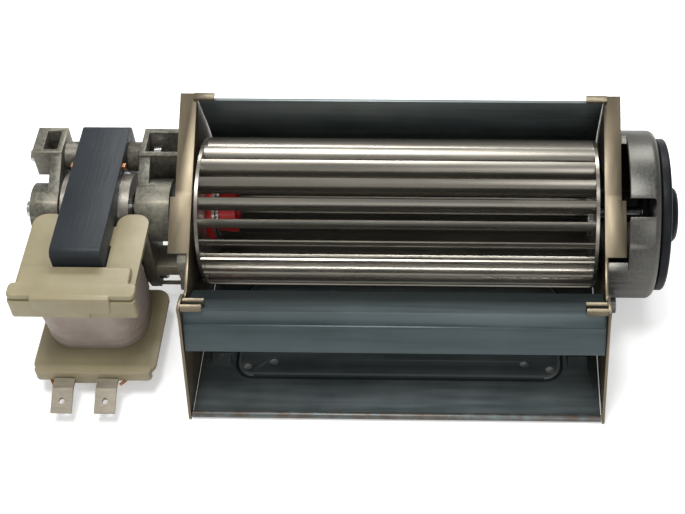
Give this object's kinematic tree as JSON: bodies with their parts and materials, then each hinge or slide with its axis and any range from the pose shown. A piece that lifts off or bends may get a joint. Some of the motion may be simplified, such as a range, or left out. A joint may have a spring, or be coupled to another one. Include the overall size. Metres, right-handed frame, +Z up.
{
  "type": "cross flow fan",
  "caption": "Cross flow fan: drum impeller between two discs in a folded sheet scroll housing, with a shaded pole motor at one end and a rubber-mounted bearing cup at the other.",
  "frame": {"origin": "midway between the outer floor holes, on the underside of the floor's raised panel", "axes": "+X along the shaft from the motor to the idle end, +Z up, outlet facing -Y"},
  "size_m": [0.202, 0.092, 0.0625],
  "materials": {
    "sheet_steel": "passivated zinc-plated sheet, satin",
    "plate_steel": "zinc-plated plate, warm satin",
    "blade_metal": "bright rolled strip",
    "red_plastic": "red moulded hub",
    "bright_steel": "ground bright",
    "stack_paint": "slate-grey varnish",
    "rotor_steel": "turned",
    "die_cast": "as-cast zinc-grey",
    "copper": "bare copper",
    "cream_plastic": "cream moulded",
    "tape": "pinkish-white tape over the wire",
    "tin": "tinned brass",
    "bronze": "sintered bronze",
    "cup_aluminium": "pressed, satin",
    "black_rubber": "moulded black",
    "dark_steel": "dark screw finish"
  },
  "bodies": {
    "root": {"left_side_plate": "plate_steel", "right_side_plate": "plate_steel", "scroll_sheet": "sheet_steel", "tongue_sheet": "sheet_steel", "stator_core": "stack_paint", "shading_rings": "copper", "coil_bobbin": "cream_plastic", "coil_winding": "tape", "bobbin_clip": "cream_plastic", "terminal_left": "tin", "terminal_right": "tin", "rear_bracket": "die_cast", "front_bracket": "die_cast", "rear_bearing": "bronze", "front_bearing": "bronze", "motor_screws": "bright_steel", "base_screws": "dark_steel", "bearing_cup": "cup_aluminium", "rubber_mount": "black_rubber", "idle_bearing": "bronze", "cup_screws": "dark_steel"},
    "impeller": {"impeller_blades": "blade_metal", "impeller_left_disc": "blade_metal", "impeller_right_disc": "blade_metal", "drive_coupling": "red_plastic", "coupling_ring_inner": "bright_steel", "coupling_ring_outer": "bright_steel", "stub_shaft": "bright_steel", "motor_shaft": "bright_steel", "rotor_core": "rotor_steel", "rotor_ring_inner": "cup_aluminium", "rotor_ring_outer": "cup_aluminium", "washer_inner": "bright_steel", "washer_outer": "bright_steel"}
  },
  "joints": [
    {"name": "impeller_spin", "type": "hinge", "parent": "root", "child": "impeller", "pos_m": [0, 0.038, 0.0308], "axis": [1, 0, 0], "continuous": true}
  ]
}
